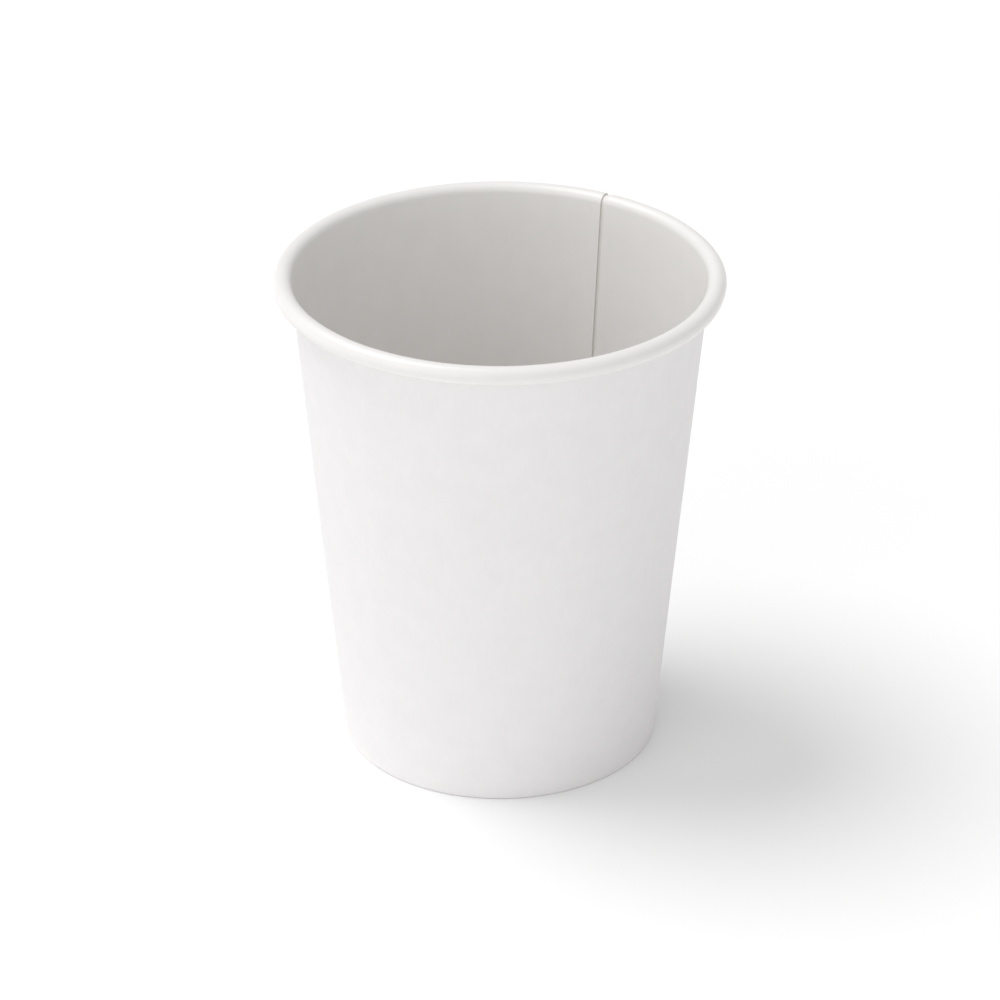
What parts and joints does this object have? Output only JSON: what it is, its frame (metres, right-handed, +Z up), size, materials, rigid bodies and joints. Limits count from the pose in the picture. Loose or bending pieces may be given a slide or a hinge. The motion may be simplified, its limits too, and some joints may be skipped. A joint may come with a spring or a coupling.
{
  "type": "paper cup",
  "caption": "Tapered paper cup with a rolled rim, a lapped side seam and a raised base, open at the top.",
  "frame": {"origin": "centre of the foot, at the level of the table", "axes": "+Z up along the cup's axis, towards the mouth; the inner cut edge of the side seam lies 60 degrees from +X towards +Y"},
  "size_m": [0.07, 0.07, 0.08],
  "materials": {
    "wall_board": "satin, coated inside",
    "base_board": "satin, coated above"
  },
  "bodies": {
    "root": {"side_wall": "wall_board", "base_disc": "base_board"}
  },
  "joints": []
}
